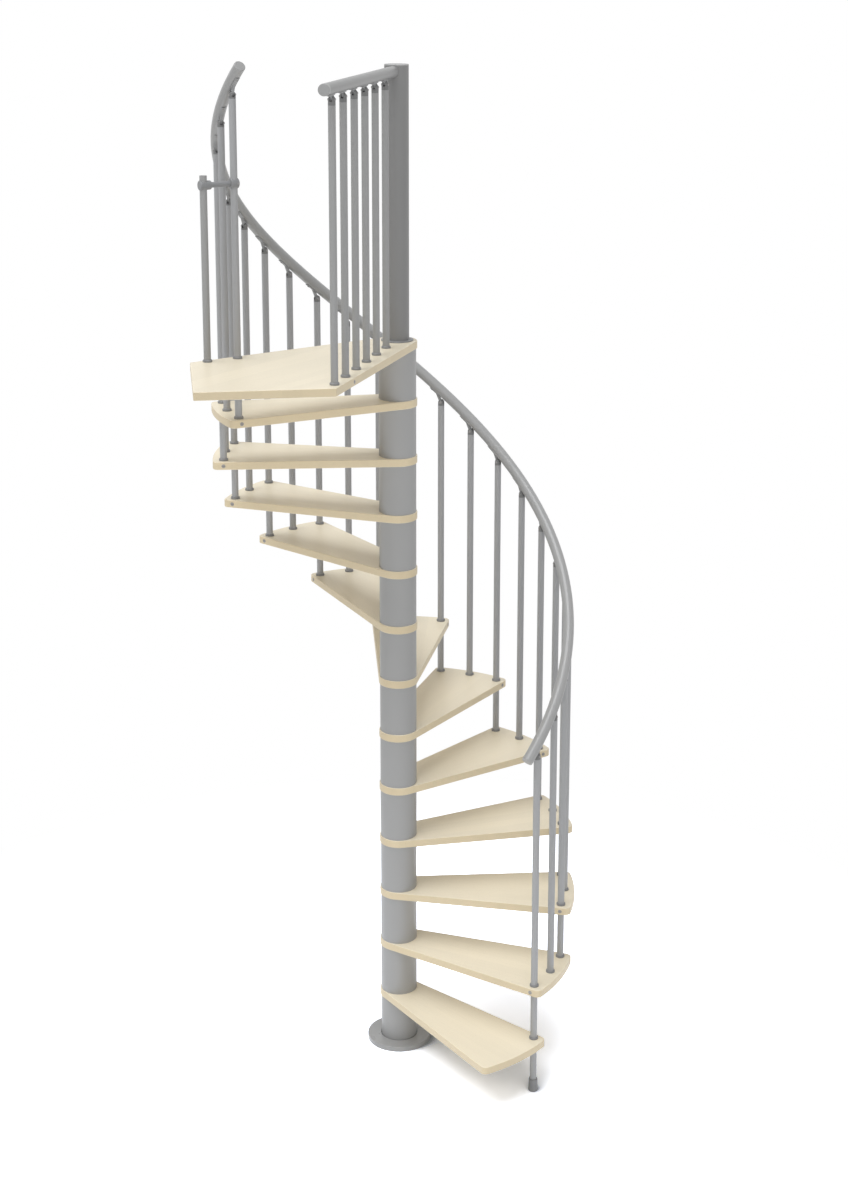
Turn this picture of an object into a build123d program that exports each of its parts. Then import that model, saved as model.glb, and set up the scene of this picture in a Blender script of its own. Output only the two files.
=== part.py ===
"""Spiral staircase: a round column on a floor flange, wood treads threaded on a pole,
tube balusters that tie each tread to the next, a helical handrail and a corner landing."""
import os
from math import acos, atan, ceil, cos, degrees, pi, radians, sin, sqrt, tan

from build123d import *

# Flight
stair_radius = 700.0
riser = 222.0
tread_count = 12
tread_turn = 22.5
landing_bearing = 225.0

# Column
pole_diameter = 90.0
pole_wall = 4.0
pole_cap_thickness = 4.0
pole_cap_spigot = 20.0
pole_above_rail = 3.5
pole_collar_width = 16.0
pole_collar_height = 5.5
pole_collar_rim = 3.0
sleeve_diameter = 142.0
sleeve_wall = 3.0

# Floor flange
flange_diameter = 253.0
flange_height = 20.5
flange_floor = 8.0
flange_edge_radius = 3.0
sleeve_recess_depth = 6.0
sleeve_recess_gap = 1.2

# Treads and landing
board_thickness = 30.0
board_edge_radius = 3.0
hub_overhang = 4.0
tread_margin = 31.0
tread_corner_radius = 22.0
landing_overhang = 80.0
landing_margin = 25.0
landing_corner_radius = 6.0

# Balusters
baluster_diameter = 26.0
baluster_wall = 2.0
baluster_inset = 41.0
seat_floor = 8.0
landing_pitch = 126.8
collar_width = 4.3
collar_height = 8.5
collar_edge_radius = 3.8
foot_height = 50.0
foot_floor = 5.0
foot_top_width = 4.0
foot_bottom_width = 5.2

# Handrails
rail_diameter = 42.0
handrail_height = 992.0
handrail_overrun = 53.0
landing_rail_rise = 9.0
landing_rail_overhang = 72.0
rail_cap_length = 14.0
rail_cap_edge_radius = 3.0

# Rail brackets
flight_pivot_height = 13.2
landing_pivot_height = 19.6
fork_shoulder = 0.3
fork_slot_width = 8.6
fork_spigot_length = 25.0
fork_to_saddle = 0.5
tongue_eye_radius = 6.0
tongue_eye_gap = 0.7
tongue_thickness = 8.0
saddle_thickness = 3.0
saddle_tail = 14.0
saddle_reach = 42.0
saddle_neck = 10.0
saddle_half_angle = 21.0

# Link between the end baluster and the last flight baluster
link_span = 118.0
link_below_rail = 360.0
link_bar_diameter = 20.0
link_bar_socket = 12.0
clamp_diameter = 37.0
clamp_end_wall = 2.5
clamp_neck_diameter = 31.5
clamp_neck_reach = 29.0
clamp_edge_radius = 4.5
end_baluster_stub = 30.0
end_cap_thickness = 4.5
end_cap_spigot = 15.0

# Fits
slide_gap = 0.3
seat_gap = 0.2
overrun = 5.0

# Derived sizes
full_turn = 360.0
half_turn = full_turn / 2
square = full_turn / 4
upright = (Align.CENTER, Align.CENTER, Align.MIN)
pole_radius = pole_diameter / 2
sleeve_radius = sleeve_diameter / 2
hub_radius = sleeve_radius + hub_overhang
baluster_radius = baluster_diameter / 2
rail_radius = rail_diameter / 2
ring_radius = stair_radius - baluster_inset
board_hole_radius = baluster_radius + slide_gap
landing_top = (tread_count + 1) * riser
landing_reach = stair_radius + landing_overhang
rail_pitch = riser * full_turn / tread_turn
rail_slope = degrees(atan(rail_pitch / (2 * pi * ring_radius)))
landing_rail_height = landing_top + handrail_height + landing_rail_rise
pole_top = landing_rail_height + rail_radius + pole_above_rail
seat_depth = board_thickness - seat_floor
spigot_radius = baluster_radius - baluster_wall - seat_gap
fork_dome_radius = baluster_radius - fork_shoulder
pivot_to_rail = fork_dome_radius + fork_to_saddle + saddle_thickness + seat_gap + rail_radius
flight_fork_rise = flight_pivot_height + pivot_to_rail / cos(radians(rail_slope))
landing_fork_rise = landing_pivot_height + pivot_to_rail
last_baluster_bearing = landing_bearing - tread_turn
landing_rail_bearing = landing_bearing + tread_turn
landing_row_radius = ring_radius + landing_pitch
end_baluster_radius = ring_radius + link_span
link_height = handrail_height - link_below_rail
clamp_reach = board_hole_radius + clamp_end_wall
linking_bearings = [last_baluster_bearing - tread_turn * back for back in range(tread_count)][::-1]


def tread_bearing(number):
    """Plan angle of a tread's centre line; the first tread is number 1."""
    return linking_bearings[number - 1] - tread_turn / 2


def rail_height(bearing):
    """Height of the helical handrail's centre line above the floor at a plan angle."""
    turned = bearing - linking_bearings[0]
    return 2 * riser + handrail_height + riser * turned / tread_turn


def at(radius, bearing, height):
    """Place a shape made at the origin out on a plan angle, with its X axis pointing outwards."""
    return Rot(0, 0, bearing) * Pos(radius, 0, height)


def ring(outer, inner, height):
    """Plain tube standing on the XY plane."""
    return Cylinder(outer, height, align=upright) - Cylinder(inner, height, align=upright)


def rod(radius, height):
    """Plain bar standing on the XY plane."""
    return Cylinder(radius, height, align=upright)


def save(name, *solids):
    """Write one named piece; like solids that don't touch share a file."""
    shape = solids[0] if len(solids) == 1 else Compound(list(solids))
    export_step(shape, f"parts/{name}.step")


def edge_bearing(point_bearing, point_radius, margin):
    """Bearing of the normal of a board edge that runs tangent to the round hub
    and passes a baluster at the given margin."""
    return point_bearing + degrees(acos((hub_radius - margin) / point_radius))


def on_edge(normal, distance):
    """Point of the hub-tangent edge, at a distance along it from the hub."""
    turn = radians(normal)
    x = hub_radius * cos(turn) + distance * sin(turn)
    y = hub_radius * sin(turn) - distance * cos(turn)
    return (x, y)


def mirrored(point):
    """The same point on the other side of the board's centre line."""
    return (point[0], -point[1])


def ease_board(outline):
    """Board of this outline with its top face on the XY plane and rounded edges."""
    board = extrude(outline, -board_thickness)
    rims = board.faces().sort_by(Axis.Z)[-1].edges() + board.faces().sort_by(Axis.Z)[0].edges()
    return fillet(rims, board_edge_radius)


def hub_bore():
    """Cut for the pole through a board."""
    return Pos(0, 0, -board_thickness - overrun) * rod(pole_radius + slide_gap, board_thickness + 2 * overrun)


def through_hole():
    """Cut for a baluster that passes through a board."""
    return Pos(0, 0, -board_thickness - overrun) * rod(board_hole_radius, board_thickness + 2 * overrun)


def seat_hole():
    """Blind cut that a baluster stands in."""
    return Pos(0, 0, -seat_depth) * rod(board_hole_radius, seat_depth + overrun)


def tread_blank():
    """Wedge board: round hub, two edges tangent to it, an arc at the tip with rounded corners."""
    normal = edge_bearing(tread_turn / 2, ring_radius, tread_margin)
    tip = on_edge(normal, sqrt(stair_radius**2 - hub_radius**2))
    root = on_edge(normal, 0)
    with BuildSketch() as outline:
        with BuildLine():
            Line(mirrored(root), mirrored(tip))
            ThreePointArc(mirrored(tip), (stair_radius, 0), tip)
            Line(tip, root)
            ThreePointArc(root, (-hub_radius, 0), mirrored(root))
        make_face()
        fillet(outline.vertices().sort_by(Axis.X)[-2:], tread_corner_radius)
    return ease_board(outline.sketch) - hub_bore()


def make_treads():
    """Every tread carries a baluster at its rear edge; all but the first also have one in the
    middle and let the baluster of the tread below through at the front."""
    blank = tread_blank()
    rear = at(ring_radius, tread_turn / 2, 0)
    middle = at(ring_radius, 0, 0)
    front = at(ring_radius, -tread_turn / 2, 0)
    first = blank - rear * through_hole()
    other = blank - rear * seat_hole() - middle * seat_hole() - front * through_hole()
    for number in range(1, tread_count + 1):
        board = first if number == 1 else other
        save(f"tread_{number:02d}", at(0, tread_bearing(number), number * riser) * board)


def landing_radii():
    """Distances of the landing balusters from the column, from the outside in."""
    nearest = pole_radius + pole_collar_width + baluster_radius + collar_width
    count = ceil((landing_row_radius - nearest) / landing_pitch)
    return [landing_row_radius - landing_pitch * step for step in range(count)]


def make_landing():
    """Corner board: the same round hub, side edges past the baluster row, a square outer corner."""
    normal = edge_bearing(tread_turn, landing_row_radius, landing_margin)
    root = on_edge(normal, 0)
    lean = radians(normal - half_turn / 4)
    side = on_edge(normal, (landing_reach - hub_radius * cos(lean)) / sin(lean))
    corner = (landing_reach * sqrt(2), 0)
    with BuildSketch() as outline:
        with BuildLine():
            Polyline(mirrored(root), mirrored(side), corner, side, root)
            ThreePointArc(root, (-hub_radius, 0), mirrored(root))
        make_face()
        fillet(outline.vertices().sort_by(Axis.X)[-3:], landing_corner_radius)
    board = ease_board(outline.sketch) - hub_bore()
    board -= at(ring_radius, -tread_turn, 0) * through_hole()
    board -= at(end_baluster_radius, -tread_turn, 0) * seat_hole()
    for radius in landing_radii():
        board -= at(radius, tread_turn, 0) * seat_hole()
    save("landing", at(0, landing_bearing, landing_top) * board)


def pole_collar():
    """Flat ring round the pole's foot, thinner at its rim."""
    inner = pole_radius + slide_gap
    outer = pole_radius + pole_collar_width
    crest = pole_collar_height
    with BuildSketch(Plane.XZ) as profile:
        with BuildLine():
            Polyline((outer, pole_collar_rim), (inner, crest), (inner, 0), (outer, 0), close=True)
        make_face()
    return revolve(profile.sketch, Axis.Z)


def make_column():
    """Flange on the floor, the pole standing in it, a sleeve under every board and the pole's trim."""
    flange = fillet(rod(flange_diameter / 2, flange_height).edges().sort_by(Axis.Z)[-1], flange_edge_radius)
    recess_radius = sleeve_radius + sleeve_recess_gap
    recess_floor = flange_height - sleeve_recess_depth
    flange -= Pos(0, 0, recess_floor) * rod(recess_radius, sleeve_recess_depth + overrun)
    flange -= Pos(0, 0, flange_floor) * rod(pole_radius + slide_gap, flange_height)
    save("base_flange", flange)

    tube_top = pole_top - pole_cap_thickness
    inside = pole_radius - pole_wall
    save("central_pole", Pos(0, 0, flange_floor) * ring(pole_radius, inside, tube_top - flange_floor))
    spigot = Pos(0, 0, tube_top - pole_cap_spigot) * rod(inside - seat_gap, pole_cap_spigot)
    save("pole_cap", spigot + Pos(0, 0, tube_top) * rod(pole_radius, pole_cap_thickness))
    save("pole_collar", Pos(0, 0, landing_top) * pole_collar())

    for number in range(1, tread_count + 2):
        bottom = recess_floor if number == 1 else (number - 1) * riser
        height = number * riser - board_thickness - bottom
        sleeve = ring(sleeve_radius, sleeve_radius - sleeve_wall, height)
        save(f"column_sleeve_{number:02d}", Pos(0, 0, bottom) * sleeve)


def tube(radius, bearing, bottom, top):
    """Upright baluster tube between two heights."""
    return at(radius, bearing, bottom) * ring(baluster_radius, baluster_radius - baluster_wall, top - bottom)


def middle_bearings():
    """Plan angles of the balusters in the middle of the treads, with their tread numbers."""
    return [(number, tread_bearing(number)) for number in range(2, tread_count + 1)]


def make_balusters():
    """Linking balusters stand in one tread and pass the next, middle ones stand on one tread,
    and the landing has a row beside its rail and one end baluster."""
    linking = []
    for number, bearing in enumerate(linking_bearings, start=1):
        bottom = foot_floor if number == 1 else number * riser - seat_depth
        linking.append(tube(ring_radius, bearing, bottom, rail_height(bearing) - flight_fork_rise))
    save("linking_balusters", *linking)

    middle = []
    for number, bearing in middle_bearings():
        top = rail_height(bearing) - flight_fork_rise
        middle.append(tube(ring_radius, bearing, number * riser - seat_depth, top))
    save("middle_balusters", *middle)

    bottom = landing_top - seat_depth
    row_top = landing_rail_height - landing_fork_rise
    row = [tube(radius, landing_rail_bearing, bottom, row_top) for radius in landing_radii()]
    save("landing_balusters", *row)

    end_top = landing_top + link_height + end_baluster_stub
    save("end_baluster", tube(end_baluster_radius, last_baluster_bearing, bottom, end_top))
    cap = rod(baluster_radius, end_cap_thickness)
    cap += Pos(0, 0, -end_cap_spigot) * rod(spigot_radius, end_cap_spigot)
    save("end_baluster_cap", at(end_baluster_radius, last_baluster_bearing, end_top) * cap)


def make_collars():
    """Rounded rings where balusters meet the boards, and the foot under the first baluster."""
    blank = rod(baluster_radius + collar_width, collar_height)
    blank = fillet(blank.edges().sort_by(Axis.Z)[-1], collar_edge_radius)
    collar = blank - rod(board_hole_radius, collar_height)
    on_treads = []
    for number, bearing in enumerate(linking_bearings, start=1):
        on_treads.append(at(ring_radius, bearing, number * riser) * collar)
        if number < tread_count:
            on_treads.append(at(ring_radius, bearing, (number + 1) * riser) * collar)
    for number, bearing in middle_bearings():
        on_treads.append(at(ring_radius, bearing, number * riser) * collar)
    save("tread_collars", *on_treads)

    on_landing = [at(radius, landing_rail_bearing, landing_top) * collar for radius in landing_radii()]
    on_landing.append(at(ring_radius, last_baluster_bearing, landing_top) * collar)
    on_landing.append(at(end_baluster_radius, last_baluster_bearing, landing_top) * collar)
    save("landing_collars", *on_landing)

    bottom_radius = baluster_radius + foot_bottom_width
    top_radius = baluster_radius + foot_top_width
    cup = Cone(bottom_radius, top_radius, foot_height, align=upright)
    cup -= Pos(0, 0, foot_floor) * rod(board_hole_radius, foot_height)
    save("foot_cap", at(ring_radius, linking_bearings[0], 0) * cup)


def fork(pivot_height):
    """Bracket fork on a baluster's top: spigot, drum and a domed head with a slot for the tongue.
    X runs along the rail, the baluster's top is on the XY plane."""
    drum_height = pivot_height - tongue_eye_radius - tongue_eye_gap
    head = rod(fork_dome_radius, pivot_height) + Pos(0, 0, pivot_height) * Sphere(fork_dome_radius)
    slot = Box(baluster_diameter, fork_slot_width, pivot_height + baluster_diameter, align=upright)
    spigot = Pos(0, 0, -fork_spigot_length) * rod(spigot_radius, fork_spigot_length)
    return rod(baluster_radius, drum_height) + (head - Pos(0, 0, drum_height) * slot) + spigot


def saddle_section():
    """Bent plate that lies under the rail; its middle is on +Y of its own plane."""
    inner = rail_radius + seat_gap
    with BuildSketch() as section:
        Circle(inner + saddle_thickness)
        Circle(inner, mode=Mode.SUBTRACT)
        reach = 2 * rail_diameter
        spread = reach * tan(radians(saddle_half_angle))
        with BuildLine():
            Polyline((0, 0), (spread, reach), (-spread, reach), close=True)
        make_face(mode=Mode.INTERSECT)
    return section.sketch


def tongue(slope):
    """Plate from the fork's pivot up to the saddle. X runs along the rail, Z is square to it and
    the rail's centre line is the X axis."""
    pivot = (-pivot_to_rail * tan(radians(slope)), -pivot_to_rail)
    root = -rail_radius - seat_gap - saddle_thickness / 2
    with BuildSketch(Plane.XZ) as plate:
        with BuildLine():
            CenterArc(pivot, tongue_eye_radius, 0, full_turn)
            Line((-saddle_tail, root), (saddle_neck, root))
        make_hull()
    solid = extrude(plate.sketch, tongue_thickness / 2, both=True)
    rail_space = Rot(0, square, 0) * Cylinder(rail_radius + seat_gap, 4 * rail_diameter)
    return solid - rail_space


def sloped_saddle():
    """Saddle and tongue for the helical rail, for a baluster on the X axis, with the rail's
    centre line above it at height zero."""
    start = -saddle_tail * cos(radians(rail_slope)) / ring_radius
    length = (saddle_tail + saddle_reach) * sin(radians(rail_slope))
    drop = -saddle_tail * sin(radians(rail_slope))
    path = Pos(0, 0, drop) * Rot(0, 0, degrees(start)) * Helix(rail_pitch, length, ring_radius)
    outwards = Vector(cos(start), sin(start), 0)
    plane = Plane(origin=path @ 0, x_dir=outwards, z_dir=path % 0)
    plate = sweep(plane * saddle_section(), path=path, is_frenet=True)
    run, climb = cos(radians(rail_slope)), sin(radians(rail_slope))
    uphill = Plane(origin=(ring_radius, 0, 0), x_dir=(0, run, climb), z_dir=(0, -climb, run))
    return plate + uphill.location * tongue(rail_slope)


def level_saddle():
    """Saddle and tongue for the level landing rail, which runs along X at height zero."""
    plane = Plane(origin=(-saddle_tail, 0, 0), x_dir=(0, 1, 0), z_dir=(1, 0, 0))
    plate = extrude(plane * (Rot(0, 0, half_turn) * saddle_section()), saddle_tail + saddle_reach)
    return plate + tongue(0)


def make_brackets():
    """A fork on every baluster that carries a rail, with its saddle against the rail."""
    sloped = sloped_saddle()
    level = level_saddle()
    along = fork(landing_pivot_height)
    across = Rot(0, 0, square) * fork(flight_pivot_height)
    forks, saddles = [], []
    for bearing in linking_bearings + [bearing for _, bearing in middle_bearings()]:
        centre = rail_height(bearing)
        forks.append(at(ring_radius, bearing, centre - flight_fork_rise) * across)
        saddles.append(at(0, bearing, centre) * sloped)
    for radius in landing_radii():
        forks.append(at(radius, landing_rail_bearing, landing_rail_height - landing_fork_rise) * along)
        saddles.append(at(radius, landing_rail_bearing, landing_rail_height) * level)
    save("bracket_forks", *forks)
    save("bracket_saddles", *saddles)


def rail_cap():
    """Round-edged end piece of a rail, standing on the XY plane."""
    blank = rod(rail_radius, rail_cap_length)
    return fillet(blank.edges().sort_by(Axis.Z)[-1], rail_cap_edge_radius)


def make_handrails():
    """Helical rail over the flight, level rail from the pole over the landing, and their end caps."""
    extra = degrees(handrail_overrun / ring_radius)
    start = linking_bearings[0] - extra
    climb = rail_height(last_baluster_bearing + extra) - rail_height(start)
    path = at(0, start, rail_height(start)) * Helix(rail_pitch, climb, ring_radius)
    section = Plane(origin=path @ 0, z_dir=path % 0) * Circle(rail_radius)
    save("handrail", sweep(section, path=path, is_frenet=True))

    rail_end = landing_row_radius + landing_rail_overhang
    level = Rot(0, square, 0) * rod(rail_radius, rail_end)
    level -= Pos(0, 0, -rail_diameter) * rod(pole_radius + seat_gap, 2 * rail_diameter)
    save("landing_handrail", at(0, landing_rail_bearing, landing_rail_height) * level)

    lower = Plane(origin=path @ 0, z_dir=-(path % 0)).location * rail_cap()
    upper = Plane(origin=path @ 1, z_dir=path % 1).location * rail_cap()
    outer = at(rail_end, landing_rail_bearing, landing_rail_height) * Rot(0, square, 0) * rail_cap()
    save("rail_end_caps", lower, upper, outer)


def clamp(barrel):
    """Lay an upright barrel inwards along X round a baluster, and round both its ends."""
    barrel = fillet(barrel.edges().filter_by(GeomType.CIRCLE), clamp_edge_radius)
    barrel = Rot(0, -square, 0) * Pos(0, 0, -clamp_reach) * barrel
    return barrel - Pos(0, 0, -clamp_diameter) * rod(board_hole_radius, 2 * clamp_diameter)


def make_link():
    """Short bar between the end baluster and the last flight baluster: it sits in a tapered clamp
    on the end baluster and meets a short clamp on the other."""
    height = landing_top + link_height
    outer = at(end_baluster_radius, last_baluster_bearing, height)
    inner = at(ring_radius, last_baluster_bearing, height)
    length = clamp_reach + clamp_neck_reach
    tapered = clamp(Cone(clamp_diameter / 2, clamp_neck_diameter / 2, length, align=upright))
    socket = rod(link_bar_diameter / 2 + seat_gap, link_bar_socket + overrun)
    tapered -= Pos(-clamp_neck_reach - overrun, 0, 0) * Rot(0, square, 0) * socket
    short = clamp(rod(clamp_diameter / 2, 2 * clamp_reach))
    save("link_clamps", outer * tapered, inner * short)

    bar_length = link_span - clamp_reach - clamp_neck_reach + link_bar_socket
    bar = Rot(0, square, 0) * rod(link_bar_diameter / 2, bar_length)
    save("link_bar", inner * Pos(clamp_reach, 0, 0) * bar)


os.makedirs("parts", exist_ok=True)
make_column()
make_treads()
make_landing()
make_balusters()
make_collars()
make_brackets()
make_handrails()
make_link()
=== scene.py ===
"""Spiral staircase: the finish of every piece, the small screws, the stage and the camera.

Laid out as an add-on, run as a script around the packed model, all in metres.
"""
from math import acos, atan, cos, pi, radians, sin

import bmesh
import bpy
from bpy.props import FloatProperty, FloatVectorProperty, IntProperty, PointerProperty
from mathutils import Matrix, Vector


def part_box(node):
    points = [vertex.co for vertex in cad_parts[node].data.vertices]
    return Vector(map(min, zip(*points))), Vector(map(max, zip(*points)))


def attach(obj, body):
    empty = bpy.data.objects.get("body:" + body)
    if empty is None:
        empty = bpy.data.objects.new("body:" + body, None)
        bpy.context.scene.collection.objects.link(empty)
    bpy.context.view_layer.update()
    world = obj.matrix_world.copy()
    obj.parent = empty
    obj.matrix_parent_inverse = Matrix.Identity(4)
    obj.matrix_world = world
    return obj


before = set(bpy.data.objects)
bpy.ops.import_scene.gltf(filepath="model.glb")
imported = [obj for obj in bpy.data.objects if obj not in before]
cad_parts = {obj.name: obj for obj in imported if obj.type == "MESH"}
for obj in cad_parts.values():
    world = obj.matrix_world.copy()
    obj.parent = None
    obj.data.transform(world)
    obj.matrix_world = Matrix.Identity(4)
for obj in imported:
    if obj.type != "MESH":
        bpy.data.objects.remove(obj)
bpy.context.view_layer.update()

bl_info = {
    "name": "Spiral staircase finish",
    "version": (1, 0, 0),
    "blender": (4, 5, 0),
    "location": "3D View > Sidebar > Stair",
    "description": "Finishes, screws and stage for a spiral staircase",
    "category": "Object",
}

BODY = "root"
TREADS = sorted(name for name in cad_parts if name.startswith("tread_") and name[-1].isdigit())
SLEEVES = sorted(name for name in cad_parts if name.startswith("column_sleeve_"))
UP = Vector((0.0, 0.0, 1.0))
WHITE = (1.0, 1.0, 1.0, 1.0)

# Wood: how often its patterns repeat in a metre along and across the grain, and the noise they use.
RING_ALONG, RING_ACROSS = 0.9, 11.0
RING_SCALE, RING_DETAIL, RING_ROUGH = 3.0, 3.0, 0.55
FIBRE_ALONG, FIBRE_ACROSS = 9.0, 330.0
FIBRE_DETAIL, FIBRE_ROUGH = 3.0, 0.6
FLECK_ALONG, FLECK_ACROSS = 130.0, 900.0
FLECK_LOW, FLECK_HIGH = 0.68, 0.80
FIBRE_RELIEF, WOOD_BUMP = 0.6, 0.5

# How far the wood's pattern moves from stave to stave and from tread to tread, and for the landing.
STAVE_STEP, TREAD_STEP, LANDING_STEP = 7.0, 3.37, 1.61

# A face is an edge by how little it faces up, and an end by how much it faces along the board.
EDGE_FULL, EDGE_NONE = 0.35, 0.85
END_NONE, END_FULL = 0.5, 0.9

# Powder coat: its broad unevenness, its fine grain and the strength of its bump.
CLOUD_SCALE, CLOUD_DETAIL = 5.0, 2.0
GRAIN_DETAIL, COAT_BUMP = 1.0, 0.35

# Screw heads: sides, then each ring's width and height as shares of the radius and the rise.
HEAD_SIDES, SOCKET_SIDES = 24, 6
HEAD_RINGS = ((1.0, 0.0), (1.0, 0.35), (0.94, 0.72), (0.80, 1.0))
SOCKET_RINGS = ((1.0, 1.0), (0.96, -0.35))
SHARP_ANGLE = radians(35.0)

# Sockets of the colour mix by number: its factor, its two colours and its result.
MIX_FACTOR, MIX_FIRST, MIX_SECOND, MIX_RESULT = 0, 6, 7, 2

# Camera: width of its sensor in millimetres and how far it sees in metres.
SENSOR_WIDTH = 36.0
CLIP_END = 400.0


def length(name, description, default):
    """Property for a length in metres."""
    return FloatProperty(
        name=name, description=description, default=default, min=0.0, precision=4, unit="LENGTH"
    )


def angle(name, description, default):
    """Property for an angle, with its default in degrees."""
    return FloatProperty(name=name, description=description, default=radians(default), unit="ROTATION")


def share(name, description, default):
    """Property for a number from none to all."""
    return FloatProperty(
        name=name, description=description, default=default, min=0.0, max=1.0, subtype="FACTOR"
    )


def colour(name, description, default):
    """Property for a linear colour."""
    return FloatVectorProperty(
        name=name, description=description, default=default, size=3, min=0.0, max=1.0, subtype="COLOR"
    )


def point(name, description, default):
    """Property for a place in the row frame."""
    return FloatVectorProperty(
        name=name, description=description, default=default, size=3, subtype="TRANSLATION"
    )


class FlightSizes(bpy.types.PropertyGroup):
    """Where boards, tubes and rails stand, so that screws find them."""

    riser: length("Riser", "Height from one tread to the next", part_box(TREADS[0])[1].z)
    board: length(
        "Board", "Thickness of treads and landing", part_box(TREADS[0])[1].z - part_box(TREADS[0])[0].z
    )
    turn: angle("Turn", "Plan angle from one tread to the next", 22.5)
    first_bearing: angle("First bearing", "Plan angle of the first tread's centre line", -56.25)
    landing_bearing: angle("Landing bearing", "Plan angle of the landing's centre line", 225.0)
    ring_radius: length("Tube ring", "Distance of the flight's tubes from the column's axis", 0.659)
    row_radius: length("Row tube", "Distance of the landing row's last tube from the column's axis", 0.7858)
    end_radius: length("End tube", "Distance of the landing's end tube from the column's axis", 0.777)
    hub_radius: length("Hub", "Radius of the boards' round hub", 0.075)
    tread_margin: length("Tread margin", "Tube's axis to the tread's straight edge", 0.031)
    landing_margin: length("Landing margin", "Row's last tube to the landing's side edge", 0.025)
    landing_pitch: length("Landing pitch", "Distance between tubes on the landing", 0.1268)
    landing_tubes: IntProperty(
        name="Landing tubes", description="Tubes under the level rail", default=6, min=1
    )
    rail_height: length("Rail height", "Flight rail's centre line above the board under it", 0.992)
    level_rail_height: length("Level rail height", "Landing rail's centre line above the landing", 1.001)
    rail_radius: length("Rail radius", "Half the rail's thickness", 0.021)
    pivot_to_rail: length("Pivot drop", "Bracket's pivot to the rail's centre line", 0.0374)
    pivot_half: length("Pivot half width", "Bracket's axis to the seat of a pivot screw", 0.0120)
    saddle: length("Saddle", "Rail's underside to the saddle's lower face", 0.0032)
    saddle_screw_reach: length("Saddle screw", "Bracket's axis to the saddle's screw, along the rail", 0.031)
    link_height: length("Link height", "Link bar above the landing", 0.632)
    clamp_radius: length("Clamp radius", "Half the link clamps' thickness at their screws", 0.0183)
    clamp_screw_reach: length("Clamp screw", "Tube's axis to the clamp's screw, along the bar", 0.0085)


class ScrewSizes(bpy.types.PropertyGroup):
    """Heads of the small screws."""

    edge_head: length("Edge screw", "Head of the screws in the board edges", 0.0145)
    edge_rise: length("Edge screw rise", "How far those heads stand proud", 0.0014)
    pivot_head: length("Pivot screw", "Head of the bracket's pivot screws", 0.0092)
    pivot_rise: length("Pivot screw rise", "How far those heads stand proud", 0.0020)
    saddle_head: length("Saddle screw", "Head of the screws from the saddle into the rail", 0.0075)
    saddle_rise: length("Saddle screw rise", "How far those heads stand proud", 0.0018)
    clamp_head: length("Clamp screw", "Head of the screw in the clamp's side", 0.0065)
    clamp_rise: length("Clamp screw rise", "How far those heads stand proud", 0.0010)
    socket_share: share("Socket", "Hexagon socket's width as a share of its head", 0.36)


class BeechFinish(bpy.types.PropertyGroup):
    """Clear-lacquered beech boards."""

    face_colour: colour("Face", "Upper and lower faces", (0.812, 0.728, 0.566))
    edge_colour: colour("Edge", "Sawn long edges", (0.705, 0.592, 0.398))
    end_colour: colour("End", "End grain at the tips", (0.668, 0.556, 0.368))
    tread_tone: share("Tread tone", "Tone of the treads' wood", 1.0)
    landing_tone: share("Landing tone", "Tone of the landing's wood", 0.95)
    stave_width: length("Stave", "Width of the glued staves", 0.048)
    stave_tone: share("Stave tone", "Difference in tone between staves", 0.020)
    ring_tone: share("Ring tone", "Depth of the growth rings", 0.022)
    fibre_tone: share("Fibre tone", "Depth of the fine fibres", 0.035)
    fleck_tone: share("Fleck tone", "Depth of the short ray flecks", 0.09)
    sheen: share("Roughness", "Roughness of the wood", 0.48)
    fibre_sheen: share("Fibre sheen", "Unevenness of that roughness along the fibres", 0.05)
    fleck_sheen: share("Fleck sheen", "How much rougher the flecks are", 0.08)
    lacquer: share("Lacquer", "Weight of the clear lacquer", 0.12)
    lacquer_roughness: share("Lacquer roughness", "Roughness of the clear lacquer", 0.25)
    pore_depth: length("Pore depth", "Depth of the fibres and flecks", 0.00006)


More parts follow.
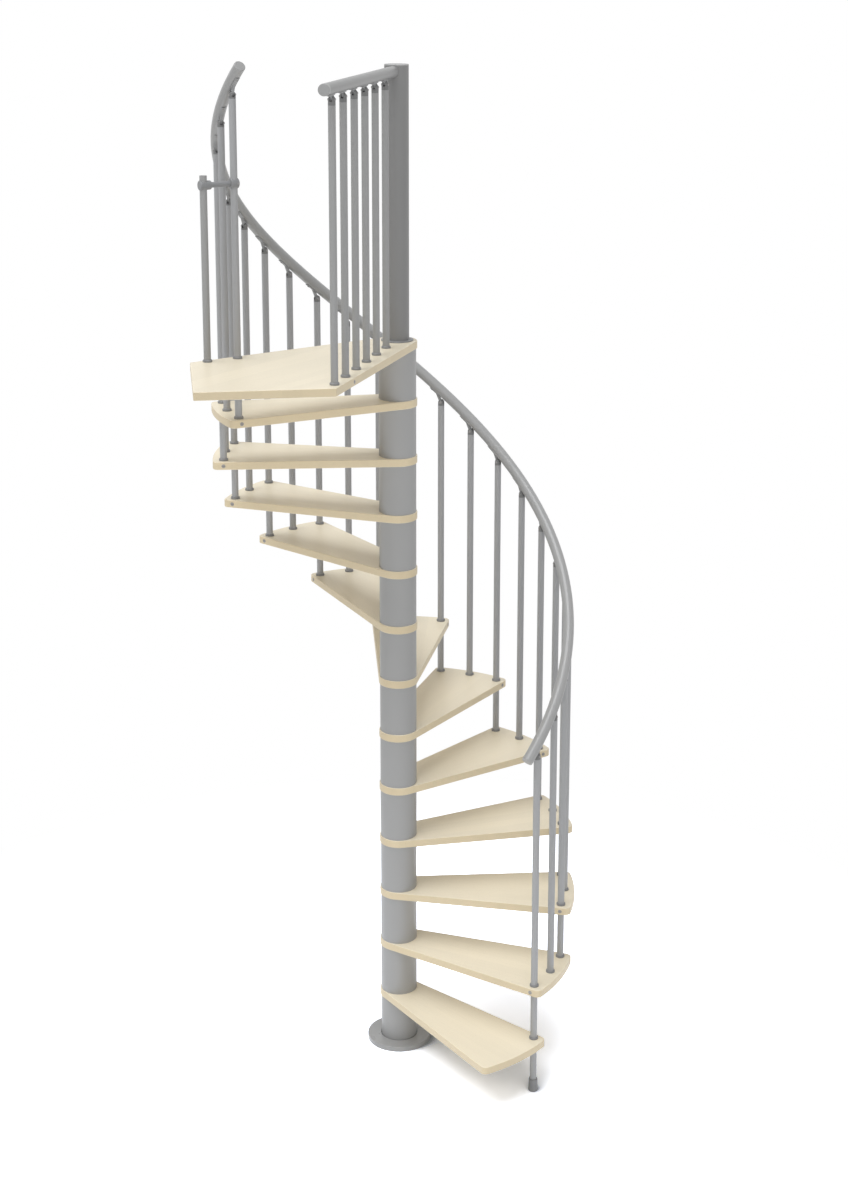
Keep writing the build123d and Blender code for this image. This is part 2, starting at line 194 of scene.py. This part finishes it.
class MetalFinish(bpy.types.PropertyGroup):
    """Grey coats of the column, tubes, rails and fittings."""

    sleeve_colour: colour("Sleeves", "Column sleeves", (0.350, 0.349, 0.346))
    flange_colour: colour("Flange", "Floor flange", (0.320, 0.319, 0.317))
    post_colour: colour("Post", "Pole above the landing", (0.226, 0.225, 0.223))
    tube_colour: colour("Tubes", "Baluster tubes of the flight", (0.362, 0.364, 0.370))
    # Painted shade: the landing's tubes are the same coat as the flight's tubes, in a darker copy that stands
    # in for less light falling on them.
    row_shaded_colour: colour("Row", "Baluster tubes of the landing", (0.315, 0.315, 0.313))
    rail_colour: colour("Rail", "Helical handrail and its end caps", (0.325, 0.324, 0.322))
    level_colour: colour("Level rail", "Handrail over the landing", (0.250, 0.249, 0.247))
    trim_colour: colour("Trim", "Collars, clamps and the foot cap", (0.235, 0.237, 0.242))
    fork_colour: colour("Forks", "Bracket forks on the tubes", (0.180, 0.180, 0.179))
    saddle_colour: colour("Saddles", "Bracket saddles under the rails", (0.300, 0.302, 0.305))
    screw_colour: colour("Screws", "Screw heads", (0.340, 0.325, 0.318))
    roughness: share("Roughness", "Roughness of the powder coat", 0.44)
    flange_roughness: share("Flange roughness", "Roughness of the floor flange", 0.28)
    rail_roughness: share("Rail roughness", "Roughness of the helical handrail", 0.30)
    level_roughness: share("Level rail roughness", "Roughness of the handrail over the landing", 0.34)
    bracket_roughness: share("Bracket roughness", "Roughness of the forks and saddles", 0.40)
    edge_screw_roughness: share("Edge screw roughness", "Roughness of the screws in the boards", 0.40)
    screw_roughness: share("Screw roughness", "Roughness of the bracket and clamp screws", 0.36)
    cloud_tone: share("Cloud tone", "Broad unevenness of the coat's tone", 0.025)
    cloud_sheen: share("Cloud sheen", "Broad unevenness of the coat's roughness", 0.04)
    grain_tone: share("Grain tone", "Fine unevenness of the coat's tone", 0.015)
    grain_depth: length("Grain depth", "Depth of the coat's texture", 0.00005)
    grain: length("Grain", "Size of the powder coat's texture", 0.0011)
    # Painted shade in the flange's groove: how dark it is, the radius where it starts to fade and the radius
    # where it ends.
    groove_shade_tone: share("Groove tone", "Tone of the coat in the dark groove", 0.2)
    groove_inner: length("Groove", "Radius of the dark groove round the lowest sleeve", 0.0722)
    groove_outer: length("Groove rim", "Radius where the flange's coat is clean again", 0.0746)


class StageLook(bpy.types.PropertyGroup):
    """Floor, light and camera."""

    floor_colour: colour("Floor", "Floor under the stair", (0.93, 0.93, 0.93))
    floor_seen: FloatVectorProperty(
        name="Floor lift",
        description="Floor's whiteness where it is seen",
        default=(1.85, 1.90, 2.04),
        size=3,
    )
    floor_shade: FloatVectorProperty(
        name="Floor shade",
        description="Floor close under the boards",
        default=(0.36, 0.39, 0.44),
        size=3,
    )
    shade_reach: length("Shade reach", "How far off a board still shades the floor", 0.50)
    shade_low: share("Shade low", "Open share of the sky where the floor is darkest", 0.40)
    shade_high: share("Shade high", "Open share of the sky where the floor is clear", 0.74)
    shade_height: angle("Shade height", "Height of the middle of the sky that lights the floor", 40.0)
    floor_size: length("Floor size", "Half the floor's width", 120.0)
    fade_start: length("Fade start", "Where the floor starts to turn plain white", 1.3)
    fade_end: length("Fade end", "Where the floor is plain white", 2.6)
    sky: FloatProperty(name="Sky", description="Strength of the even light from all round", default=0.31)
    key: FloatProperty(name="Key", description="Strength of the soft light from above", default=2.70)
    key_colour: colour("Key colour", "Colour of the soft light", (0.968, 0.984, 1.000))
    key_spread: angle("Key spread", "Size of the soft light in the sky", 50.0)
    key_height: angle("Key height", "Height of the soft light above the horizon", 74.0)
    key_bearing: angle("Key bearing", "Plan angle the soft light comes from", -150.0)
    fill: FloatProperty(name="Fill", description="Strength of the weak light from the front", default=0.55)
    fill_spread: angle("Fill spread", "Size of the front light in the sky", 60.0)
    fill_height: angle("Fill height", "Height of the front light above the horizon", 12.0)
    fill_bearing: angle("Fill bearing", "Plan angle the front light comes from", -80.0)
    camera_place: point("Camera", "Where the camera stands", (-0.896, -7.588, 4.448))
    camera_bearing: angle("Camera bearing", "Plan angle the camera looks along", 82.513)
    camera_tilt: angle("Camera tilt", "How far the camera looks down", 13.099)
    camera_lens: FloatProperty(name="Lens", description="Focal length in millimetres", default=62.302)
    camera_shift: FloatProperty(name="Shift", description="Upright shift of the picture", default=-0.17)


class Link:
    """A shader socket that can stand in a Python sum."""

    def __init__(self, shades, socket):
        self.shades = shades
        self.socket = socket

    def maths(self, operation, *values):
        return self.shades.add("ShaderNodeMath", {"operation": operation}, dict(enumerate(values)))

    def __add__(self, other):
        return self.maths("ADD", self, other)

    def __radd__(self, other):
        return self.maths("ADD", other, self)

    def __sub__(self, other):
        return self.maths("SUBTRACT", self, other)

    def __rsub__(self, other):
        return self.maths("SUBTRACT", other, self)

    def __mul__(self, other):
        return self.maths("MULTIPLY", self, other)

    def __truediv__(self, other):
        return self.maths("DIVIDE", self, other)

    def __pow__(self, other):
        return self.maths("POWER", self, other)

    def __abs__(self):
        return self.maths("ABSOLUTE", self)

    def floor(self):
        return self.maths("FLOOR", self)

    def ramp(self, low, high):
        """0 at low, 1 at high and smooth between."""
        settings = {"interpolation_type": "SMOOTHSTEP"}
        inputs = {"Value": self, "From Min": low, "From Max": high}
        return self.shades.add("ShaderNodeMapRange", settings, inputs)

    def swing(self, amount):
        """A pattern from 0 to 1, turned into one from minus to plus an amount."""
        return (self - 0.5) * (2.0 * amount)


class Shades:
    """Adds nodes to one material or world."""

    def __init__(self, owner):
        owner.use_nodes = True
        self.tree = owner.node_tree
        self.tree.nodes.clear()

    def add(self, kind, settings=None, inputs=None, output=0):
        """New node: its settings first, then its sockets by name or number; gives one output."""
        node = self.tree.nodes.new(kind)
        for name, value in (settings or {}).items():
            setattr(node, name, value)
        for name, value in (inputs or {}).items():
            if isinstance(value, Link):
                self.tree.links.new(value.socket, node.inputs[name])
            else:
                node.inputs[name].default_value = value
        return Link(self, node.outputs[output]) if node.outputs else None

    def turned(self, output, bearing):
        """Place or normal on the piece, turned so that X runs along a plan angle."""
        inputs = {"Vector": self.add("ShaderNodeTexCoord", output=output), "Rotation": (0.0, 0.0, bearing)}
        return self.add("ShaderNodeMapping", {"vector_type": "TEXTURE"}, inputs)

    def split(self, vector):
        """The three parts of a vector."""
        first = self.add("ShaderNodeSeparateXYZ", None, {"Vector": vector})
        outputs = first.socket.node.outputs
        return tuple(Link(self, outputs[axis]) for axis in "XYZ")

    def join(self, x, y, z):
        """A vector from three parts."""
        return self.add("ShaderNodeCombineXYZ", None, {"X": x, "Y": y, "Z": z})

    def noise(self, vector, scale, detail=2.0, rough=0.5):
        """Soft noise from 0 to 1."""
        inputs = {"Vector": vector, "Scale": scale, "Detail": detail, "Roughness": rough}
        return self.add("ShaderNodeTexNoise", None, inputs)

    def mix(self, factor, first, second, blend="MIX"):
        """Colour between two colours."""
        settings = {"data_type": "RGBA", "blend_type": blend}
        inputs = {MIX_FACTOR: factor, MIX_FIRST: first, MIX_SECOND: second}
        return self.add("ShaderNodeMix", settings, inputs, output=MIX_RESULT)

    def blend(self, factor, first, second):
        """Shader between two shaders."""
        return self.add("ShaderNodeMixShader", None, {0: factor, 1: first, 2: second})

    def tint(self, base, factor):
        """Colour times a grey factor."""
        grey = self.join(factor, factor, factor)
        return self.mix(1.0, base, grey, "MULTIPLY")

    def bump(self, height, distance, strength):
        """Normal from a height pattern."""
        inputs = {"Height": height, "Distance": distance, "Strength": strength}
        return self.add("ShaderNodeBump", None, inputs)

    def surface(self, inputs):
        """Principled shader on the material's output."""
        shader = self.add("ShaderNodeBsdfPrincipled", None, inputs)
        self.add("ShaderNodeOutputMaterial", None, {"Surface": shader})


def rgba(linear):
    """Four-part colour from a property."""
    return (*linear, 1.0)


def beech(name, finish, bearing, offset, level):
    """Pale beech of one tone, whose grain runs along a board at this plan angle."""
    material = bpy.data.materials.new(name)
    shades = Shades(material)
    along, across, deep = shades.split(shades.turned("Object", bearing))
    facing_along, _, facing_up = shades.split(shades.turned("Normal", bearing))

    stave = (across / finish.stave_width + offset).floor()
    seed = {"Vector": shades.join(stave, offset, 0.0)}
    lot = shades.add("ShaderNodeTexWhiteNoise", {"noise_dimensions": "2D"}, seed)
    far = lot * STAVE_STEP
    place = shades.join(along * RING_ALONG + far, across * RING_ACROSS + far, deep * RING_ACROSS + offset)
    rings = shades.noise(place, RING_SCALE, RING_DETAIL, RING_ROUGH)
    place = shades.join(along * FIBRE_ALONG + far, across * FIBRE_ACROSS, deep * FIBRE_ACROSS)
    fibres = shades.noise(place, 1.0, FIBRE_DETAIL, FIBRE_ROUGH)
    place = shades.join(along * FLECK_ALONG + far, across * FLECK_ACROSS, deep * FLECK_ACROSS)
    flecks = shades.noise(place, 1.0, 0.0).ramp(FLECK_LOW, FLECK_HIGH)

    edge = 1.0 - abs(facing_up).ramp(EDGE_FULL, EDGE_NONE)
    end = abs(facing_along).ramp(END_NONE, END_FULL) * edge
    base = shades.mix(edge, rgba(finish.face_colour), rgba(finish.edge_colour))
    base = shades.mix(end, base, rgba(finish.end_colour))
    tone = level + lot.swing(finish.stave_tone)
    tone = tone + rings.swing(finish.ring_tone) + fibres.swing(finish.fibre_tone)
    tone = tone - flecks * finish.fleck_tone * (1.0 - end)
    shades.surface({
        "Base Color": shades.tint(base, tone),
        "Roughness": finish.sheen + fibres.swing(finish.fibre_sheen) + flecks * finish.fleck_sheen,
        "Coat Weight": finish.lacquer,
        "Coat Roughness": finish.lacquer_roughness,
        "Normal": shades.bump(fibres * FIBRE_RELIEF - flecks, finish.pore_depth, WOOD_BUMP),
    })
    return material


def powder_coat(name, finish, coat, roughness, groove=False):
    """Satin coat with a fine even texture and faint unevenness, darkened by painted shade in the flange's
    groove.
    """
    material = bpy.data.materials.new(name)
    shades = Shades(material)
    place = shades.add("ShaderNodeTexCoord", output="Object")
    cloud = shades.noise(place, CLOUD_SCALE, CLOUD_DETAIL)
    grain = shades.noise(place, 1.0 / finish.grain, GRAIN_DETAIL)
    tone = 1.0 + cloud.swing(finish.cloud_tone) + grain.swing(finish.grain_tone)
    # Painted shade: the flange's coat is darkened in and just round the groove at the lowest sleeve, where
    # shade falls.
    if groove:
        x, y, _ = shades.split(place)
        unshaded = ((x * x + y * y) ** 0.5).ramp(finish.groove_inner, finish.groove_outer)
        tone = tone * (finish.groove_shade_tone + unshaded * (1.0 - finish.groove_shade_tone))
    shades.surface({
        "Base Color": shades.tint(rgba(coat), tone),
        "Roughness": roughness + cloud.swing(finish.cloud_sheen),
        "Normal": shades.bump(grain, finish.grain_depth, COAT_BUMP),
    })
    return material


def dress(names, material):
    """Give CAD pieces their finish."""
    for name in names:
        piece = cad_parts[name]
        if not piece.material_slots:
            piece.data.materials.append(material)
        for slot in piece.material_slots:
            slot.material = material


def polar(radius, bearing, height):
    """Place at a distance and plan angle from the column's axis."""
    return Vector((radius * cos(bearing), radius * sin(bearing), height))


def heading(bearing):
    """Level direction at a plan angle."""
    return Vector((cos(bearing), sin(bearing), 0.0))


def direction(bearing, height):
    """Direction at a plan angle and a height above the horizon."""
    return heading(bearing) * cos(height) + UP * sin(height)


def seat(centre, outwards, reach):
    """Matrix of a screw head that faces outwards, at a distance from a centre."""
    turned = outwards.to_track_quat("Z", "Y").to_matrix().to_4x4()
    return Matrix.Translation(centre + outwards * reach) @ turned


def button_head(diameter, rise, socket_share):
    """Round screw head on the XY plane with a hexagon socket, as a new mesh."""
    radius = diameter / 2
    socket = radius * socket_share
    rings = [(radius * width, rise * height, HEAD_SIDES) for width, height in HEAD_RINGS]
    rings += [(socket * width, rise * height, SOCKET_SIDES) for width, height in SOCKET_RINGS]
    head = bmesh.new()
    loops = []
    for width, height, sides in rings:
        place = Matrix.Translation(UP * height)
        made = bmesh.ops.create_circle(head, cap_ends=False, radius=width, segments=sides, matrix=place)
        loops.append(list(dict.fromkeys(edge for vert in made["verts"] for edge in vert.link_edges)))
    for lower, upper in zip(loops, loops[1:]):
        bmesh.ops.bridge_loops(head, edges=lower + upper)
    bmesh.ops.edgeloop_fill(head, edges=loops[0])
    bmesh.ops.edgeloop_fill(head, edges=loops[-1])
    bmesh.ops.recalc_face_normals(head, faces=head.faces)
    mesh = bpy.data.meshes.new("head")
    head.to_mesh(mesh)
    head.free()
    return mesh


def stamp(name, pattern, places, material):
    """One piece made of the same small shape at many places."""
    joined = bmesh.new()
    for place in places:
        before = len(joined.verts)
        joined.from_mesh(pattern)
        joined.verts.ensure_lookup_table()
        bmesh.ops.transform(joined, matrix=place, verts=joined.verts[before:])
    mesh = bpy.data.meshes.new(name)
    joined.to_mesh(mesh)
    joined.free()
    bpy.data.meshes.remove(pattern)
    mesh.materials.append(material)
    mesh.set_sharp_from_angle(angle=SHARP_ANGLE)
    piece = bpy.data.objects.new(name, mesh)
    bpy.context.scene.collection.objects.link(piece)
    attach(piece, BODY)


def tread_bearing(flight, number):
    """Plan angle of a tread's centre line; the first tread is number 1."""
    return flight.first_bearing + flight.turn * (number - 1)


def rail_slope(flight):
    """Climb of the helical rail."""
    return atan(flight.riser / (flight.turn * flight.ring_radius))


def rail_start(flight):
    """Plan angle of the first tube, where the first two treads meet."""
    return flight.first_bearing + flight.turn / 2


def flight_bearings(flight):
    """Plan angles of every tube under the helical rail, two to a tread."""
    return [rail_start(flight) + step * flight.turn / 2 for step in range(2 * len(TREADS) - 1)]


def flight_rail(flight, bearing):
    """Point on the helical rail's centre line, whose first tube passes through the second tread."""
    climb = flight.riser * (bearing - rail_start(flight)) / flight.turn
    return polar(flight.ring_radius, bearing, 2 * flight.riser + flight.rail_height + climb)


def landing_top(flight):
    """Height of the landing's upper face."""
    return flight.riser * (len(TREADS) + 1)


def landing_radii(flight):
    """Distances of the level rail's tubes from the column's axis."""
    return [flight.row_radius - flight.landing_pitch * step for step in range(flight.landing_tubes)]


class STAIR_OT_boards(bpy.types.Operator):
    """Finish the treads and the landing in pale beech, each with its own grain"""

    bl_idname = "stair.boards"
    bl_label = "Boards"

    def execute(self, context):
        flight, finish = context.scene.stair_flight, context.scene.stair_beech
        for number, name in enumerate(TREADS, start=1):
            wood = beech(
                f"beech_{name}", finish, tread_bearing(flight, number), number * TREAD_STEP, finish.tread_tone
            )
            dress([name], wood)
        wood = beech("beech_landing", finish, flight.landing_bearing, LANDING_STEP, finish.landing_tone)
        dress(["landing"], wood)
        return {"FINISHED"}


class STAIR_OT_column(bpy.types.Operator):
    """Coat the floor flange, the sleeves and the pole"""

    bl_idname = "stair.column"
    bl_label = "Column"

    def execute(self, context):
        finish = context.scene.stair_metal
        dress(SLEEVES, powder_coat("sleeve_coat", finish, finish.sleeve_colour, finish.roughness))
        coat = powder_coat("flange_coat", finish, finish.flange_colour, finish.flange_roughness, groove=True)
        dress(["base_flange"], coat)
        dress(["central_pole"], powder_coat("post_coat", finish, finish.post_colour, finish.roughness))
        dress(["pole_cap"], powder_coat("cap_coat", finish, finish.sleeve_colour, finish.roughness))
        dress(["pole_collar"], powder_coat("collar_moulding", finish, finish.trim_colour, finish.roughness))
        return {"FINISHED"}


class STAIR_OT_tubes(bpy.types.Operator):
    """Coat the baluster tubes, and finish their collars, clamps and foot"""

    bl_idname = "stair.tubes"
    bl_label = "Tubes"

    def execute(self, context):
        finish = context.scene.stair_metal
        tubes = ("linking_balusters", "middle_balusters")
        dress(tubes, powder_coat("tube_coat", finish, finish.tube_colour, finish.roughness))
        # Painted shade: the landing's tubes, the end tube and its cap take a darker copy of the tube coat.
        row = ("landing_balusters", "end_baluster", "end_baluster_cap")
        dress(row, powder_coat("row_shaded_coat", finish, finish.row_shaded_colour, finish.roughness))
        trim = ("tread_collars", "landing_collars", "foot_cap", "link_clamps", "link_bar")
        dress(trim, powder_coat("trim_moulding", finish, finish.trim_colour, finish.roughness))
        return {"FINISHED"}


class STAIR_OT_rails(bpy.types.Operator):
    """Finish the handrails, their end caps and the brackets under them"""

    bl_idname = "stair.rails"
    bl_label = "Rails"

    def execute(self, context):
        finish = context.scene.stair_metal
        skin = powder_coat("rail_skin", finish, finish.rail_colour, finish.rail_roughness)
        dress(["handrail", "rail_end_caps"], skin)
        skin = powder_coat("level_rail_skin", finish, finish.level_colour, finish.level_roughness)
        dress(["landing_handrail"], skin)
        coat = powder_coat("fork_coat", finish, finish.fork_colour, finish.bracket_roughness)
        dress(["bracket_forks"], coat)
        coat = powder_coat("saddle_coat", finish, finish.saddle_colour, finish.bracket_roughness)
        dress(["bracket_saddles"], coat)
        return {"FINISHED"}


class STAIR_OT_edge_screws(bpy.types.Operator):
    """Set the screws in the board edges, each in line with the tube that it holds"""

    bl_idname = "stair.edge_screws"
    bl_label = "Edge screws"

    def execute(self, context):
        flight, sizes = context.scene.stair_flight, context.scene.stair_screws
        finish = context.scene.stair_metal
        lean = acos((flight.hub_radius - flight.tread_margin) / flight.ring_radius)
        places = []
        for number in range(1, len(TREADS) + 1):
            height = number * flight.riser - flight.board / 2
            for side in (1, -1):
                if number == 1 and side < 0:
                    continue
                tube = tread_bearing(flight, number) + side * flight.turn / 2
                centre = polar(flight.ring_radius, tube, height)
                places.append(seat(centre, heading(tube + side * lean), flight.tread_margin))
        spread = (flight.hub_radius - flight.landing_margin) / flight.row_radius
        margin = flight.hub_radius - flight.ring_radius * spread
        height = landing_top(flight) - flight.board / 2
        for side in (1, -1):
            tube = flight.landing_bearing + side * flight.turn
            centre = polar(flight.ring_radius, tube, height)
            places.append(seat(centre, heading(tube + side * acos(spread)), margin))
        head = button_head(sizes.edge_head, sizes.edge_rise, sizes.socket_share)
        coat = powder_coat("edge_screw_steel", finish, finish.screw_colour, finish.edge_screw_roughness)
        stamp("edge_screws", head, places, coat)
        return {"FINISHED"}


class STAIR_OT_bracket_screws(bpy.types.Operator):
    """Set the pivot screws of the rail brackets and the screws from the saddles into the rails"""

    bl_idname = "stair.bracket_screws"
    bl_label = "Bracket screws"

    def execute(self, context):
        flight, sizes = context.scene.stair_flight, context.scene.stair_screws
        finish = context.scene.stair_metal
        slope = rail_slope(flight)
        under = flight.rail_radius + flight.saddle
        pivots, saddles = [], []
        for bearing in flight_bearings(flight):
            pivot = flight_rail(flight, bearing) - UP * (flight.pivot_to_rail / cos(slope))
            for side in (1, -1):
                pivots.append(seat(pivot, side * heading(bearing), flight.pivot_half))
            ahead = bearing + flight.saddle_screw_reach * cos(slope) / flight.ring_radius
            down = direction(ahead + pi / 2, slope - pi / 2)
            saddles.append(seat(flight_rail(flight, ahead), down, under))
        bearing = flight.landing_bearing + flight.turn
        height = landing_top(flight) + flight.level_rail_height
        for radius in landing_radii(flight):
            pivot = polar(radius, bearing, height - flight.pivot_to_rail)
            for side in (1, -1):
                pivots.append(seat(pivot, side * heading(bearing + pi / 2), flight.pivot_half))
            saddles.append(seat(polar(radius + flight.saddle_screw_reach, bearing, height), -UP, under))
        coat = powder_coat("bracket_screw_steel", finish, finish.screw_colour, finish.screw_roughness)
        head = button_head(sizes.pivot_head, sizes.pivot_rise, sizes.socket_share)
        stamp("pivot_screws", head, pivots, coat)
        head = button_head(sizes.saddle_head, sizes.saddle_rise, sizes.socket_share)
        stamp("saddle_screws", head, saddles, coat)
        return {"FINISHED"}


class STAIR_OT_clamp_screws(bpy.types.Operator):
    """Set the screw in the side of each link clamp"""

    bl_idname = "stair.clamp_screws"
    bl_label = "Clamp screws"

    def execute(self, context):
        flight, sizes = context.scene.stair_flight, context.scene.stair_screws
        finish = context.scene.stair_metal
        bearing = flight.landing_bearing - flight.turn
        height = landing_top(flight) + flight.link_height
        aside = heading(bearing + pi / 2)
        outer = polar(flight.end_radius + flight.clamp_screw_reach, bearing, height)
        inner = polar(flight.ring_radius - flight.clamp_screw_reach, bearing, height)
        places = [seat(outer, -aside, flight.clamp_radius), seat(inner, aside, flight.clamp_radius)]
        head = button_head(sizes.clamp_head, sizes.clamp_rise, sizes.socket_share)
        coat = powder_coat("clamp_screw_steel", finish, finish.screw_colour, finish.screw_roughness)
        stamp("clamp_screws", head, places, coat)
        return {"FINISHED"}


class STAIR_OT_stage(bpy.types.Operator):
    """Lay the floor, hang the lights and set the camera"""

    bl_idname = "stair.stage"
    bl_label = "Stage"

    def execute(self, context):
        look = context.scene.stair_stage
        context.scene.view_settings.view_transform = "Standard"
        self.floor(context, look)
        self.light(context, look)
        self.camera(context, look)
        return {"FINISHED"}

    def seen(self, shades):
        """1 for what the camera sees, straight, in a reflection or through glass."""
        rays = shades.add("ShaderNodeLightPath").socket.node.outputs
        straight, mirrored, through = (
            Link(shades, rays[name]) for name in ("Is Camera Ray", "Is Glossy Ray", "Is Transmission Ray")
        )
        return straight.maths("MAXIMUM", straight, straight.maths("MAXIMUM", mirrored, through))

    def floor(self, context, look):
        """Pale floor, darker where boards close off its sky, that turns plain white further out."""
        sheet = bmesh.new()
        bmesh.ops.create_grid(sheet, x_segments=1, y_segments=1, size=look.floor_size)
        mesh = bpy.data.meshes.new("floor")
        sheet.to_mesh(mesh)
        sheet.free()
        material = bpy.data.materials.new("floor_paint")
        shades = Shades(material)
        place = shades.add("ShaderNodeTexCoord", output="Object")
        away = shades.add("ShaderNodeVectorMath", {"operation": "LENGTH"}, {0: place}, output="Value")
        above = shades.join(*direction(look.key_bearing, look.shade_height))
        sky = {"Distance": look.shade_reach, "Normal": above}
        clear = shades.add("ShaderNodeAmbientOcclusion", None, sky, output="AO")
        clear = clear.ramp(look.shade_low, look.shade_high)
        tone = shades.mix(clear, rgba(look.floor_shade), rgba(look.floor_seen))
        paint = shades.add("ShaderNodeBsdfDiffuse", None, {"Color": rgba(look.floor_colour)})
        bright = shades.add("ShaderNodeBsdfDiffuse", None, {"Color": tone})
        white = shades.add("ShaderNodeEmission", None, {"Color": WHITE, "Strength": 1.0})
        faded = shades.blend(away.ramp(look.fade_start, look.fade_end), bright, white)
        mixed = shades.blend(self.seen(shades), paint, faded)
        shades.add("ShaderNodeOutputMaterial", None, {"Surface": mixed})
        mesh.materials.append(material)
        floor = bpy.data.objects.new("floor", mesh)
        context.scene.collection.objects.link(floor)

    def light(self, context, look):
        """Even white sky, one large soft light from above and a weak one from the front."""
        world = bpy.data.worlds.new("studio")
        context.scene.world = world
        shades = Shades(world)
        strength = look.sky + self.seen(shades) * (1.0 - look.sky)
        sky = shades.add("ShaderNodeBackground", None, {"Color": WHITE, "Strength": strength})
        shades.add("ShaderNodeOutputWorld", None, {"Surface": sky})

        towards = direction(look.key_bearing, look.key_height)
        key = self.lamp(context, "key", look.key, look.key_spread, towards)
        key.color = look.key_colour
        towards = direction(look.fill_bearing, look.fill_height)
        self.lamp(context, "fill", look.fill, look.fill_spread, towards)

    def lamp(self, context, name, strength, spread, towards):
        """One soft light far off in a direction of the sky."""
        lamp = bpy.data.lights.new(name, "SUN")
        lamp.energy = strength
        lamp.angle = spread
        light = bpy.data.objects.new(name, lamp)
        light.rotation_mode = "QUATERNION"
        light.rotation_quaternion = towards.to_track_quat("Z", "Y")
        context.scene.collection.objects.link(light)
        return lamp

    def camera(self, context, look):
        """Camera at the photograph's place, tilted down with a small shift."""
        lens = bpy.data.cameras.new("camera")
        lens.lens = look.camera_lens
        lens.sensor_width = SENSOR_WIDTH
        lens.shift_y = look.camera_shift
        lens.clip_end = CLIP_END
        camera = bpy.data.objects.new("camera", lens)
        camera.location = look.camera_place
        gaze = direction(look.camera_bearing, -look.camera_tilt)
        camera.rotation_mode = "QUATERNION"
        camera.rotation_quaternion = gaze.to_track_quat("-Z", "Y")
        context.scene.collection.objects.link(camera)
        context.scene.camera = camera


class STAIR_PT_panel(bpy.types.Panel):
    """Lists the stair's operators and settings"""

    bl_idname = "STAIR_PT_panel"
    bl_label = "Spiral staircase"
    bl_space_type = "VIEW_3D"
    bl_region_type = "UI"
    bl_category = "Stair"

    def draw(self, context):
        for operator in OPERATORS:
            self.layout.operator(operator.bl_idname)
        for name, group in GROUPS.items():
            box = self.layout.box()
            box.label(text=group.__doc__)
            for key in group.__annotations__:
                box.prop(getattr(context.scene, name), key)


GROUPS = {
    "stair_flight": FlightSizes,
    "stair_screws": ScrewSizes,
    "stair_beech": BeechFinish,
    "stair_metal": MetalFinish,
    "stair_stage": StageLook,
}
OPERATORS = (
    STAIR_OT_boards,
    STAIR_OT_column,
    STAIR_OT_tubes,
    STAIR_OT_rails,
    STAIR_OT_edge_screws,
    STAIR_OT_bracket_screws,
    STAIR_OT_clamp_screws,
    STAIR_OT_stage,
)


def register():
    for group in GROUPS.values():
        bpy.utils.register_class(group)
    for name, group in GROUPS.items():
        setattr(bpy.types.Scene, name, PointerProperty(type=group))
    for kind in (*OPERATORS, STAIR_PT_panel):
        bpy.utils.register_class(kind)


def unregister():
    for kind in reversed((*OPERATORS, STAIR_PT_panel)):
        bpy.utils.unregister_class(kind)
    for name in GROUPS:
        delattr(bpy.types.Scene, name)
    for group in reversed(list(GROUPS.values())):
        bpy.utils.unregister_class(group)


def main():
    """Dress the stair and set the stage."""
    register()
    bpy.ops.stair.boards()
    bpy.ops.stair.column()
    bpy.ops.stair.tubes()
    bpy.ops.stair.rails()
    bpy.ops.stair.edge_screws()
    bpy.ops.stair.bracket_screws()
    bpy.ops.stair.clamp_screws()
    bpy.ops.stair.stage()


if __name__ == "__main__":
    main()
